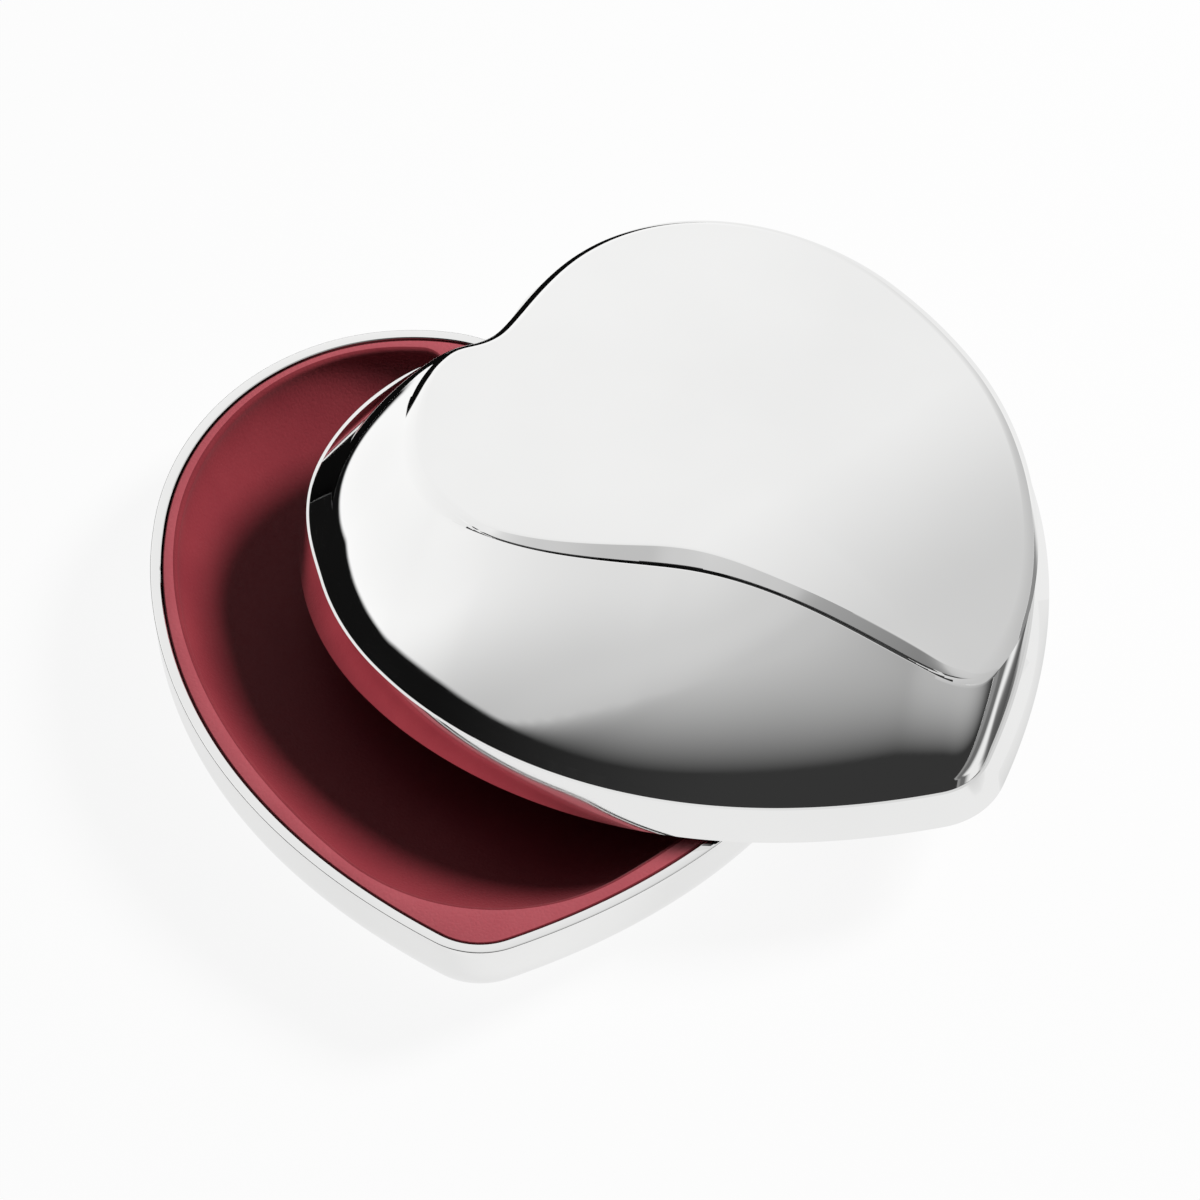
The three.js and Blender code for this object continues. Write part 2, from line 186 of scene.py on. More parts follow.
# The top's outline as curve anchors, counter-clockwise from the point: x, y, direction in degrees,
# reach before and reach after. The last two curves make one run.
TOP_ANCHORS = [
    (4.65, -31.5, 8, 4.6, 9.0),
    (24.4, 1.5, 90, 19.0, 9.0),
    (9.5, 20.3, 180, 9.8, 4.2),
    (-0.9, 17.9, 182, 1.7, 2.0),
    (-5.3, 18.9, 187, 2.0, 5.1),
    (-16.5, 6.4, 270, 5.5, 7.5),
    (-7.4, -11.2, 306, 6.0, 10.3),
]

# The strip inside the top's edge: rounded on the right, soft on the left lobe, and along the S-shaped lip
# a groove that widens to a crescent. Places on the lip and the lobe are shares of their lengths, and the
# nose's are points from the outline's first.
ROUND_W = 1.1
ROUND_DROP = 0.7
NOSE_DROP = 0.3
NOSE_STEPS = (3, 20)
SOFT_W = 1.6
SOFT_DROP = 0.4
SOFT_STARTS = (0.1, 0.5)
SOFT_ENDS = (0.46, 0.8)
LIP_STARTS = (-0.02, 0.13)
LIP_ENDS = (0.86, 0.99)
STRIP_AT = (0, 0.2, 0.43, 0.6, 0.85, 1)
STRIP_W = (0.45, 1.3, 2.4, 1.55, 1.5, 0.7)
STRIP_BLUR = 13

# Shares of the strip's width: where its rows run, the groove's depth, its section as places and depths, and
# where the painted shade on its floor starts. AT are places along the lip, and TO is how far across the floor
# the painted shade reaches there.
STRIP_SHARES = (0.02, 0.04, 0.07, 0.1, 0.14, 0.2, 0.26, 0.32, 0.36, 0.4, 0.42, 0.435, 0.45, 0.47, 0.49,
                0.52, 0.6, 0.7, 0.82, 0.93, 0.97, 0.99)
GROOVE = 0.43
GROOVE_SECTION = ((0, 0.04, 0.1, 0.42, 0.47, 0.97, 1), (0, 0.02, 0.97, 1, 0.78, 0.02, 0))
GROOVE_DARK_FROM = 0.05
GROOVE_DARK_AT = (0.055, 0.06, 0.12, 0.3, 0.43, 0.55, 0.84, 0.925, 0.93)
GROOVE_DARK_TO = (0.06, 0.3, 0.43, 0.47, 0.51, 0.455, 0.43, 0.3, 0.06)

# The leathers' grain: how fine its cells, its unevenness and its mottle are, and how it stands up
GRAIN_SCALE = 2600
FINE_SCALE = 3800
MOTTLE_SCALE = 160
FINE_SHARE = 0.5
GRAIN_BUMP = 0.35
GRAIN_DEPTH = 0.00006
LEATHER_SHEEN = 0.08


def mix(a, b, share):
    return a + (b - a) * share


def smoothstep(x, low, high):
    t = np.clip((x - low) / (high - low), 0, 1)
    return t * t * (3 - 2 * t)


def within(x, starts, ends):
    """One between two soft ends, and nothing beyond them."""
    return smoothstep(x, *starts) * (1 - smoothstep(x, *ends))


def bezier(a, b, c, d, count):
    t = np.linspace(0, 1, count, endpoint=False)[:, None]
    s = 1 - t
    return s**3 * np.array(a) + 3 * s * s * t * np.array(b) + 3 * s * t * t * np.array(c) + t**3 * np.array(d)


def spaced(runs):
    """A closed curve as points that stand evenly in each run, with soft changes from run to run."""
    steps = RUN_STEPS + RUN_STEPS[::-1]
    dense = np.vstack(runs + [runs[0][:1]])
    length = np.concatenate([[0], np.cumsum(np.hypot(*np.diff(dense, axis=0).T))])
    ends = length[np.cumsum([0] + [len(run) for run in runs])]
    gaps = np.pad(np.repeat(np.diff(ends) / steps, steps), SPACE_BLUR, mode="wrap")
    share = np.hanning(2 * SPACE_BLUR + 3)[1:-1]
    gaps = np.convolve(gaps, share / share.sum(), "valid")
    at = np.concatenate([[0], np.cumsum(gaps)[:-1]])
    return np.stack([np.interp(at, length, dense[:, i]) for i in (0, 1)], axis=1)


def heart(point_y, point_r, point_turn, side_reach, waist_reach, half_width, waist_y,
          lobe_x, lobe_y, cleft_y, lobe_reach, cleft_reach):
    """A closed heart, counter-clockwise from its point, as COUNT points."""
    turn = math.radians(point_turn)
    angle = np.linspace(0, turn, ARC_POINTS, endpoint=False)
    arc = np.stack([point_r * np.sin(angle), point_y + point_r * (1 - np.cos(angle))], axis=1)
    x, y = point_r * math.sin(turn), point_y + point_r * (1 - math.cos(turn))
    side = bezier((x, y), (x + side_reach * math.cos(turn), y + side_reach * math.sin(turn)),
                  (half_width, waist_y - waist_reach), (half_width, waist_y), SIDE_POINTS)
    lobe = bezier((half_width, waist_y), (half_width, waist_y + LOBE_SIDE_UP * (lobe_y - waist_y)),
                  (lobe_x + LOBE_SIDE_OUT * (half_width - lobe_x), lobe_y), (lobe_x, lobe_y), SIDE_POINTS)
    cleft = bezier((lobe_x, lobe_y), (lobe_x - lobe_reach, lobe_y), (cleft_reach, cleft_y),
                   (0, cleft_y), CLEFT_POINTS)
    runs = [np.vstack([arc, side]), lobe, cleft]
    ends = [lobe[:1], cleft[:1], [(0, cleft_y)]]
    left = [np.vstack([run[1:], end])[::-1] * (-1, 1) for run, end in zip(runs, ends)]
    return spaced(runs + left[::-1])


def top_outline():
    """The top's outline, counter-clockwise from the point, with as many points a run as the heart has."""
    curves = []
    for i, (x, y, way, _, after) in enumerate(TOP_ANCHORS):
        u, v, end_way, before, _ = TOP_ANCHORS[(i + 1) % len(TOP_ANCHORS)]
        a, b = math.radians(way), math.radians(end_way)
        curves.append(bezier((x, y), (x + after * math.cos(a), y + after * math.sin(a)),
                             (u - before * math.cos(b), v - before * math.sin(b)), (u, v), TOP_RUN_POINTS))
    last = 2 * len(RUN_STEPS) - 1
    curves[last:] = [np.vstack(curves[last:])]
    return spaced(curves)


def inward(curve):
    """The unit normals of a counter-clockwise closed curve, which point into it."""
    step = np.roll(curve, -1, axis=0) - np.roll(curve, 1, axis=0)
    normal = np.stack([-step[:, 1], step[:, 0]], axis=1)
    return normal / np.linalg.norm(normal, axis=1)[:, None]


def inset(curve, distance):
    """The curve moved inward by one distance, or by one for each point."""
    return curve + inward(curve) * np.reshape(distance, (-1, 1))


def ring(curve, z):
    """A flat curve lifted to one height, or to one for each point."""
    return np.column_stack([curve, np.broadcast_to(z, len(curve))])


def top_height(points):
    """Height of the lid's top: a tilted plane that bends down towards the point."""
    bend = NOSE_BEND * np.maximum(0, NOSE_Y - points[:, 1]) ** 2
    return TOP_Z + points[:, 0] * TOP_FALL[0] + points[:, 1] * TOP_FALL[1] - bend


def make(name, points, faces, slot, sharp=CRISP, toned=(), tone=None):
    """A smooth mesh piece, with its points in millimetres. The toned faces take a second material."""
    mesh = bpy.data.meshes.new(name)
    mesh.from_pydata((np.asarray(points) * MM).tolist(), [], faces)
    for face in toned:
        mesh.polygons[face].material_index = 1
    mesh.validate()
    welded = bmesh.new()
    welded.from_mesh(mesh)
    bmesh.ops.remove_doubles(welded, verts=welded.verts, dist=WELD)
    bmesh.ops.recalc_face_normals(welded, faces=welded.faces)
    welded.to_mesh(mesh)
    welded.free()
    mesh.polygons.foreach_set("use_smooth", [True] * len(mesh.polygons))
    mesh.set_sharp_from_angle(angle=math.radians(sharp))
    piece = bpy.data.objects.new(name, mesh)
    bpy.context.scene.collection.objects.link(piece)
    mesh.materials.append(MATERIALS[slot]())
    if tone:
        mesh.materials.append(MATERIALS[tone]())
    return piece


def placed(piece, body, node):
    """The piece rides on a CAD body in place of a CAD node."""
    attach(piece, body)
    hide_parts(node)
    return piece


def loft(rings, centre=HEART_CENTRE, first_z=None, last_z=None):
    """Points and faces of a closed body from rings of equal count, closed by a fan at either end."""
    count = len(rings[0])
    points = [p for r in rings for p in r]
    low, high = len(points), len(points) + 1
    points.append((centre[0], centre[1], rings[0][0][2] if first_z is None else first_z))
    points.append((centre[0], centre[1], rings[-1][0][2] if last_z is None else last_z))
    faces = []
    last = (len(rings) - 1) * count
    for k in range(count):
        m = (k + 1) % count
        faces.append((low, m, k))
        faces.append((high, last + k, last + m))
        for j in range(len(rings) - 1):
            a, b = j * count + k, j * count + m
            faces.append((a, b, b + count, a + count))
    return points, faces


def face_at(rings, row, column):
    """Which of loft's faces lies in a column between a ring and the next."""
    return column * (len(rings) + 1) + 2 + row


def turned(points):
    """From the lid's closed place to where it stands at rest."""
    angle = math.radians(TURN_AS_SHOWN)
    c, s = math.cos(angle), math.sin(angle)
    p = np.asarray(points, float)
    x, y = p[:, 0] - PIVOT[0], p[:, 1] - PIVOT[1]
    return np.column_stack([PIVOT[0] + c * x - s * y, PIVOT[1] + s * x + c * y, p[:, 2] + LID_Z])


def cylinder(radius, low, high):
    """An upright cylinder at the pivot."""
    bpy.ops.mesh.primitive_cylinder_add(
        vertices=CIRCLE_POINTS, radius=radius * MM, depth=(high - low) * MM,
        location=(PIVOT[0] * MM, PIVOT[1] * MM, (low + high) / 2 * MM))
    return bpy.context.object


def apply_modifiers(piece):
    graph = bpy.context.evaluated_depsgraph_get()
    shaped = bpy.data.meshes.new_from_object(piece.evaluated_get(graph))
    old = piece.data
    piece.modifiers.clear()
    piece.data = shaped
    shaped.name = old.name
    bpy.data.meshes.remove(old)


def combine(piece, other, operation, sharp=CRISP):
    """Joins, cuts or intersects a piece with another, which goes."""
    step = piece.modifiers.new("combine", "BOOLEAN")
    step.operation = operation
    step.solver = "EXACT"
    step.object = other
    apply_modifiers(piece)
    bpy.data.objects.remove(other)
    piece.data.polygons.foreach_set("use_smooth", [True] * len(piece.data.polygons))
    piece.data.set_sharp_from_angle(angle=math.radians(sharp))


# Materials. A stop is a place on a ramp and the colour or grey there.

def node_material(name):
    material = bpy.data.materials.new(name)
    material.use_nodes = True
    nodes = material.node_tree.nodes
    return material, nodes, material.node_tree.links, nodes["Principled BSDF"]


def object_noise(nodes, links, scale, detail):
    place = nodes.new("ShaderNodeTexCoord")
    noise = nodes.new("ShaderNodeTexNoise")
    noise.inputs["Scale"].default_value = scale
    noise.inputs["Detail"].default_value = detail
    links.new(place.outputs["Object"], noise.inputs["Vector"])
    return noise


def vary(nodes, links, noise, socket, low, high):
    """Leads a noise through a ramp between two stops into a shader's socket."""
    shades = nodes.new("ShaderNodeValToRGB")
    ends = shades.color_ramp.elements
    ends[0].position, ends[0].color = low
    ends[1].position, ends[1].color = high
    links.new(noise.outputs["Fac"], shades.inputs["Fac"])
    links.new(shades.outputs["Color"], socket)


def grey(value):
    return (value, value, value, 1)


def varied(name, metallic, tint, rough):
    """A finish whose colour and roughness vary: each is a noise's scale and detail, and its two stops."""
    material, nodes, links, shader = node_material(name)
    shader.inputs["Metallic"].default_value = metallic
    for socket, (scale, detail, low, high) in (("Base Color", tint), ("Roughness", rough)):
        vary(nodes, links, object_noise(nodes, links, scale, detail), shader.inputs[socket], low, high)
    return material


@cache
def polished_metal():
    """Mirror polish with the faint haze of handling."""
    return varied("polished_metal", metallic=1.0,
                  tint=(60, 3, (0.3, (0.90, 0.90, 0.895, 1)), (0.7, (0.93, 0.93, 0.925, 1))),
                  rough=(110, 5, (0.35, grey(0.025)), (0.75, grey(0.055))))


@cache
def groove_painted_shade():
    """Painted shade: dark metal on the groove's floor for the shade and dark reflection in its crease."""
    return varied("groove_painted_shade", metallic=1.0,
                  tint=(200, 3, (0.3, grey(0.05)), (0.7, grey(0.09))),
                  rough=(400, 3, (0.3, grey(0.2)), (0.7, grey(0.35))))


@cache
def plain_steel():
    """Turned steel, a little uneven."""
    return varied("plain_steel", metallic=1.0,
                  tint=(300, 3, (0.3, grey(0.52)), (0.7, grey(0.62))),
                  rough=(900, 4, (0.3, grey(0.25)), (0.7, grey(0.4))))


@cache
def slip_plastic():
    """Matt dark washer stock."""
    return varied("slip_plastic", metallic=0.0,
                  tint=(500, 3, (0.3, grey(0.015)), (0.7, grey(0.03))),
                  rough=(1200, 3, (0.3, grey(0.45)), (0.7, grey(0.6))))


def red_leather(name, deep, light, gloss):
    """Leather mottled between two reds, with a grain of fine cells that also catches the light."""
    material, nodes, links, shader = node_material(name)
    shader.inputs["Sheen Weight"].default_value = LEATHER_SHEEN
    shader.inputs["Specular IOR Level"].default_value = gloss
    grain = nodes.new("ShaderNodeTexVoronoi")
    grain.feature = "DISTANCE_TO_EDGE"
    grain.inputs["Scale"].default_value = GRAIN_SCALE
    place = nodes.new("ShaderNodeTexCoord")
    links.new(place.outputs["Object"], grain.inputs["Vector"])
    fine = object_noise(nodes, links, FINE_SCALE, 3)
    mottle = object_noise(nodes, links, MOTTLE_SCALE, 4)
    vary(nodes, links, mottle, shader.inputs["Base Color"], (0.3, deep), (0.7, light))
    vary(nodes, links, fine, shader.inputs["Roughness"], (0.3, grey(0.5)), (0.7, grey(0.62)))
    height = nodes.new("ShaderNodeMath")
    height.operation = "MULTIPLY_ADD"
    height.inputs[1].default_value = FINE_SHARE
    links.new(fine.outputs["Fac"], height.inputs[0])
    links.new(grain.outputs["Distance"], height.inputs[2])
    bump = nodes.new("ShaderNodeBump")
    bump.inputs["Strength"].default_value = GRAIN_BUMP
    bump.inputs["Distance"].default_value = GRAIN_DEPTH
    links.new(height.outputs["Value"], bump.inputs["Height"])
    links.new(bump.outputs["Normal"], shader.inputs["Normal"])
    return material


@cache
def red_liner():
    """Fine-grained red leather."""
    return red_leather("red_liner", deep=(0.195, 0.022, 0.031, 1), light=(0.23, 0.029, 0.038, 1), gloss=0.3)


@cache
def red_rim():
    """The same leather on the liner's flat face, glossier and lighter. The lighter colour is partly its own
    and partly painted light, which keeps the face bright also where the lid shades it.
    """
    return red_leather("red_rim", deep=(0.43, 0.075, 0.095, 1), light=(0.47, 0.09, 0.11, 1), gloss=0.7)


MATERIALS = {maker.__name__: maker for maker in (
    polished_metal, groove_painted_shade, red_liner, red_rim, plain_steel, slip_plastic)}


# Tray and liner

def belly(curve, first, width, height, top, steps):
    """Rings of a quarter-round wall from its foot up."""
    rows = []
    for t in np.linspace(math.pi / 2, 0, steps + 1):
        rows.append(ring(inset(curve, first + width * (1 - math.cos(t))), top - height * math.sin(t)))
    return rows


def rounded(curve, z_high, radius, first=0.0):
    """Rings that round an outer edge from a wall to a flat top."""
    rows = []
    for t in QUARTER:
        at = inset(curve, first + radius * (1 - math.cos(t)))
        rows.append(ring(at, z_high - radius * (1 - math.sin(t))))
    return rows


def tray():
    """The metal tray: rounded outside, rim band, drawn-in wall, and the boss and bore of the pivot."""
    rim = heart(**RIM_HEART)
    cavity = BELLY_W - (RIM_W - WALL_LEAN)
    wall_h = BASE_H - RIM_EDGE - BELLY_H
    outside = belly(rim, WALL_LEAN, BELLY_W, BELLY_H, BELLY_H, BELLY_STEPS)
    rows = outside + [ring(inset(rim, WALL_LEAN * (1 - s)), BELLY_H + s * wall_h) for s in WALL_SHARES]
    rows += rounded(rim, BASE_H, RIM_EDGE)
    rows += [ring(inset(rim, RIM_W - SMALL_EDGE), BASE_H), ring(inset(rim, RIM_W), BASE_H - SMALL_EDGE)]
    rows += belly(rim, RIM_W, cavity, BELLY_H - FLOOR_T, BELLY_H, CAVITY_STEPS)[::-1]
    piece = make("tray_metal", *loft(rows), "polished_metal")
    block = make("block", *loft(outside + [ring(inset(rim, WALL_LEAN), BASE_H)]), "polished_metal")
    boss = cylinder(BOSS_R, FLOOR_T / 2, BASE_H)
    combine(boss, block, "INTERSECT")
    combine(piece, boss, "UNION")
    combine(piece, cylinder(POST_R + FIT_GAP, -BEYOND, BASE_H + BEYOND), "DIFFERENCE")
    combine(piece, cylinder(COUNTERBORE_R, -BEYOND, COUNTERBORE_H), "DIFFERENCE")
    return placed(piece, "base", "base_shell")


def bowl_heart(shrink):
    """The bowl's outline at a distance in from its mouth."""
    return heart(
        point_y=BOWL_POINT_Y + shrink, point_r=BOWL_POINT_R - shrink, point_turn=BOWL_POINT_TURN,
        side_reach=BOWL_SIDE_REACH - BOWL_REACH_SHARE * shrink,
        waist_reach=BOWL_WAIST_REACH - BOWL_REACH_SHARE * shrink,
        half_width=HALF_WIDTH - BOWL_SIDE - shrink, waist_y=RIM_HEART["waist_y"],
        lobe_x=BOWL_LOBE_X + BOWL_LOBE_SHARE * shrink, lobe_y=RIM_HEART["lobe_y"] - BOWL_SIDE - shrink,
        cleft_y=PIVOT[1] - BOSS_R - FIT_GAP - BOWL_NOTCH - BOWL_NOTCH_SHARE * shrink,
        lobe_reach=BOWL_LOBE_REACH, cleft_reach=BOWL_CLEFT_REACH)


def liner():
    """The leather insert: a flat face inside the rim band, a rounded lip and the bowl."""
    rim = heart(**RIM_HEART)
    side = RIM_W + SEAM
    top = BASE_H - LINER_DROP
    bottom = FLOOR_T + SEAM
    cavity = BELLY_W - (RIM_W - WALL_LEAN) - SEAM
    rows = belly(rim, side, cavity, BELLY_H - bottom, BELLY_H, LINER_STEPS)
    rows += rounded(rim, top, LEATHER_EDGE, first=side)
    flat = len(rows) - 1
    for t in QUARTER:
        rows.append(ring(bowl_heart(BOWL_LIP_R * math.sin(t)), top - BOWL_LIP_R * (1 - math.cos(t))))
    depth = top - BOWL_FLOOR_Z - BOWL_LIP_R
    for t in np.linspace(0, math.pi / 2, BOWL_STEPS)[1:]:
        across = BOWL_LIP_R + BOWL_ACROSS * (1 - math.cos(t))
        rows.append(ring(bowl_heart(across), top - BOWL_LIP_R - depth * math.sin(t)))
    # The flat face takes the lighter leather, partly painted light
    toned = [face_at(rows, flat, k) for k in range(COUNT)]
    piece = make("liner_leather", *loft(rows), "red_liner", CRISP, toned, "red_rim")
    combine(piece, cylinder(BOSS_R + FIT_GAP, -BEYOND, BASE_H + BEYOND), "DIFFERENCE")
    return placed(piece, "base", "base_liner")


# Lid

def lip_share():
    """How far along the S-shaped lip each column stands, from nothing at the waist to one at the point."""
    side = RUN_STEPS[0]
    return (np.arange(COUNT) - (COUNT - side)) / side


def strip_profile():
    """Width, groove depth and edge drop of the strip inside the top's edge, all round."""
    side, lobe, _ = RUN_STEPS
    step = np.arange(COUNT)
    lip = lip_share()
    left_lobe = (step - (COUNT - side - lobe)) / lobe
    on_lip = within(lip, LIP_STARTS, LIP_ENDS)
    soft = smoothstep(left_lobe, *SOFT_STARTS) * (1 - smoothstep(lip, *SOFT_ENDS))
    corners = np.pad(np.interp(lip, STRIP_AT, STRIP_W), STRIP_BLUR // 2, mode="edge")
    lip_width = np.convolve(corners, np.full(STRIP_BLUR, 1 / STRIP_BLUR), "valid")
    width = mix(mix(ROUND_W, SOFT_W, soft), lip_width, on_lip)
    off_nose = smoothstep(np.minimum(step, COUNT - step), *NOSE_STEPS)
    drop = mix(mix(NOSE_DROP, ROUND_DROP, off_nose), SOFT_DROP, soft) * (1 - on_lip)
    return width, GROOVE * lip_width * on_lip, drop


def flank(outer, inner, z_low, z_high):
    """Rows between the ledge and the top's edge: a steeper foot that is higher behind the waist, then a slope
    that eases towards the lip. All the angles shift together until the run comes out right."""
    run = np.maximum(np.linalg.norm(inner - outer, axis=1), FLANK_LEAST_RUN)
    rise = z_high - z_low
    side = RUN_STEPS[0]
    step = np.arange(COUNT)
    from_waist = (np.maximum(step, COUNT - step) - (COUNT - side)) / side
    grown = np.maximum(0, FOOT_GROWS_FROM - from_waist) ** 2
    foot = np.minimum((FOOT_H + FOOT_MORE_BEHIND * grown) / rise, FOOT_MOST)
    foot_steps = FLANK_STEPS // 3
    low = np.linspace(0, 1, foot_steps, endpoint=False)[:, None] * foot
    share = np.vstack([low, foot + (1 - foot) * np.linspace(0, 1, FLANK_STEPS - foot_steps + 1)[:, None]])
    middle = (share[1:] + share[:-1]) / 2
    above = np.clip((middle - foot) / (1 - foot), 0, 1)
    eased = mix(-FLANK_LIP_LESS, FLANK_LOW_MORE, (1 - above) ** FLANK_EASE)
    tilt = np.radians(np.where(middle < foot, FOOT_STEEPER, eased))
    climb = np.diff(share, axis=0) * rise
    least, most = np.radians(-FLANK_SHIFT) + 0 * run, np.radians(FLANK_SHIFT) + 0 * run
    for _ in range(FLANK_TRIES):
        guess = (least + most) / 2
        slope = np.clip(np.arctan2(rise, run) + guess + tilt, *FLANK_SLOPES)
        too_long = (climb / np.tan(slope)).sum(axis=0) > run
        least, most = np.where(too_long, guess, least), np.where(too_long, most, guess)
    across = np.vstack([0 * run, np.cumsum(climb / np.tan(slope), axis=0)])
    across /= across[-1]
    return [ring(mix(outer, inner, r[:, None]), z_low + rise * q) for r, q in zip(across, share)]


def fan(curve, depth, crown, steps):
    """Rings from a curve in towards the top's centre, at the top's height less a depth."""
    centre = np.array(TOP_CENTRE)
    rows = []
    for s in np.linspace(0, FAN_TO, steps):
        at = mix(curve, centre, s)
        rows.append(ring(at, top_height(at) - depth + crown * (1 - (1 - s) ** 2)))
    return rows


def hollow(rim, roof_edge):
    """The lid's inside, from the roof's middle out and down to the skirt's inner edge."""
    seat_z = LINING_UP + LINING_T + FIT_GAP
    rows = fan(roof_edge, LID_ROOF, 0, ROOF_STEPS)[::-1]
    rows += [ring(inset(rim, LID_WALL + HOLLOW_IN), SKIRT_H), ring(inset(rim, LID_WALL), seat_z)]
    rows += [ring(inset(rim, LID_WALL), SMALL_EDGE), ring(inset(rim, LID_WALL - SMALL_EDGE), 0.0)]
    return rows


def skirt(rim, shoulder, ledge):
    """The lid's outside from its lower edge up the skirt and in over the ledge."""
    rows = [ring(mix(rim, shoulder, SKIRT_EDGE_SHARE), 0.0), ring(rim, SKIRT_EDGE)]
    rows += [ring(mix(rim, shoulder, s), mix(SKIRT_EDGE, SKIRT_H, s)) for s in SKIRT_SHARES]
    rows += [ring(mix(shoulder, ledge, s), SKIRT_H + LEDGE_UP * s) for s in LEDGE_SHARES]
    return rows


def strip(outline, inner, groove, drop):
    """The rows of the strip inside the top's edge, with the groove along the lip."""
    rows = []
    for u in STRIP_SHARES:
        at = mix(outline, inner, u)
        sink = np.interp(u, *GROOVE_SECTION)
        rows.append(ring(at, top_height(at) - drop * (1 - u) ** 2 - groove * sink))
    return rows


def groove_shaded_faces(rows, first):
    """The faces of the groove's floor that take the painted shade, when the strip starts at the first of its
    rows.
    """
    dark_to = np.interp(lip_share(), GROOVE_DARK_AT, GROOVE_DARK_TO)
    return [face_at(rows, first + j, k) for k in range(COUNT)
            for j, (u, v) in enumerate(zip(STRIP_SHARES, STRIP_SHARES[1:]))
            if u > GROOVE_DARK_FROM and v < dark_to[k]]


def lid():
    """The polished lid, lofted from inside to outside, with the pivot's boss and post."""
    rim = heart(**RIM_HEART)
    outline = top_outline()
    width, groove, drop = strip_profile()
    fade = smoothstep(rim[:, 1], RIM_HEART["waist_y"] + FLARE_FADE, RIM_HEART["cleft_y"])
    flare = mix(SKIRT_FLARE, SKIRT_FLARE_CLEFT, fade)
    ledge = inset(rim, flare + LEDGE_W)
    inner = inset(outline, width)
    rows = hollow(rim, inset(outline, np.maximum(width, LID_ROOF)))
    rows += skirt(rim, inset(rim, flare), ledge)
    rows += flank(ledge, outline, SKIRT_H + FLANK_UP, top_height(outline) - drop)
    first = len(rows)
    rows += strip(outline, inner, groove, drop)
    rows += fan(inner, 0, TOP_CROWN, TOP_STEPS)
    centre_z = top_height(np.array([TOP_CENTRE]))[0]
    points, faces = loft(rows, TOP_CENTRE, centre_z - LID_ROOF, centre_z + TOP_CROWN)
    # The groove's floor takes painted shade
    toned = groove_shaded_faces(rows, first)
    piece = make("lid_metal", turned(points), faces, "polished_metal", LID_CRISP, toned, "groove_painted_shade")
    roof_z = LID_Z + top_height(np.array([PIVOT]))[0] - LID_ROOF / 2
    boss = cylinder(LID_BOSS_R, LID_Z + LID_BOSS_FOOT, roof_z)
    combine(boss, cylinder(POST_R, POST_FOOT, LID_Z + LID_BOSS_FOOT + OVERLAP), "UNION")
    combine(boss, cylinder(SCREW_R + FIT_GAP, 0, POST_FOOT + SCREW_GRIP + FIT_GAP), "DIFFERENCE")
    combine(piece, boss, "UNION", LID_CRISP)
    return placed(piece, "lid", "lid_shell")


def lining():
    """The flat red plate that closes the lid's hollow from below."""
    edge = inset(heart(**RIM_HEART), LID_WALL + FIT_GAP)
    small = inset(edge, LEATHER_EDGE)
    rows = [ring(small, LINING_UP), ring(edge, LINING_UP + LEATHER_EDGE)]
    rows += [ring(edge, LINING_UP + LINING_T - LEATHER_EDGE), ring(small, LINING_UP + LINING_T)]
    points, faces = loft(rows)
    piece = make("lining_leather", turned(points), faces, "red_liner")
    combine(piece, cylinder(LID_BOSS_R + FIT_GAP, LID_Z, LID_Z + 3 * BEYOND), "DIFFERENCE")
    return placed(piece, "lid", "lid_lining")


# Pivot

def washer(name, node, radius, hole, low, slot):
    """A flat ring about the pivot with small rounded edges."""
    angle = np.linspace(0, 2 * math.pi, CIRCLE_POINTS, endpoint=False)
    circle = np.stack([np.cos(angle), np.sin(angle)], axis=1)
    small = radius - SMALL_EDGE
    high = low + WASHER_T
    section = ((small, low), (radius, low + SMALL_EDGE), (radius, high - SMALL_EDGE), (small, high))
    rows = [ring(circle * r + PIVOT, z) for r, z in section]
    piece = make(name, *loft(rows, PIVOT), slot)
    combine(piece, cylinder(hole, low - BEYOND, low + 2 * BEYOND), "DIFFERENCE")
    return placed(piece, "base", node)


def screw():
    """The slotted screw that comes up from the tray's underside into the lid's post."""
    head_top = COUNTERBORE_H - FIT_GAP - WASHER_T - FIT_GAP
    head_foot = head_top - SCREW_HEAD_H
    piece = cylinder(SCREW_HEAD_R, head_foot, head_top)
    piece.name = "screw_steel"
    combine(piece, cylinder(SCREW_R, head_top - OVERLAP, POST_FOOT + SCREW_GRIP), "UNION")
    bpy.ops.mesh.primitive_cube_add(size=1)
    slot = bpy.context.object
    slot.scale = (SLOT_LONG * SCREW_HEAD_R * MM, SLOT_W * MM, 2 * SLOT_D * MM)
    slot.rotation_euler.z = math.radians(TURN_AS_SHOWN)
    slot.location = (PIVOT[0] * MM, PIVOT[1] * MM, head_foot * MM)
    combine(piece, slot, "DIFFERENCE")
    piece.data.materials.clear()
    piece.data.materials.append(MATERIALS["plain_steel"]())
    return placed(piece, "lid", "pivot_screw")


tray()
liner()
lid()
lining()
washer("slip_washer_smooth", "slip_washer", WASHER_R, POST_R + FIT_GAP, BASE_H + FIT_GAP, "slip_plastic")
washer("spring_washer_smooth", "spring_washer", SCREW_HEAD_R, SCREW_R + FIT_GAP,
       COUNTERBORE_H - FIT_GAP - WASHER_T, "plain_steel")
screw()


# Studio: camera, floor and world. The focal length is given as a share of the picture's width.
CAMERA_AIM = Vector((6.449, -2.851, 7.3)) * MM
CAMERA_WAY = Vector((0.0531, -0.6077, 0.7924))
CAMERA_DISTANCE = 0.9
CAMERA_CLIP = (0.01, 20)
FOCAL_SHARE = 12070 / 1200
SENSOR = 36.0
FLOOR_SIDE = 4.0
FLOOR_DOWN = 0.0002
FLOOR_WHITE = 0.8
FLOOR_ROUGH = 0.9
FLOOR_GLOW = 0.92
FLOOR_MIRRORED = 0.9
FLOOR_IN_METAL = 0.85
AMBIENT = 0.018

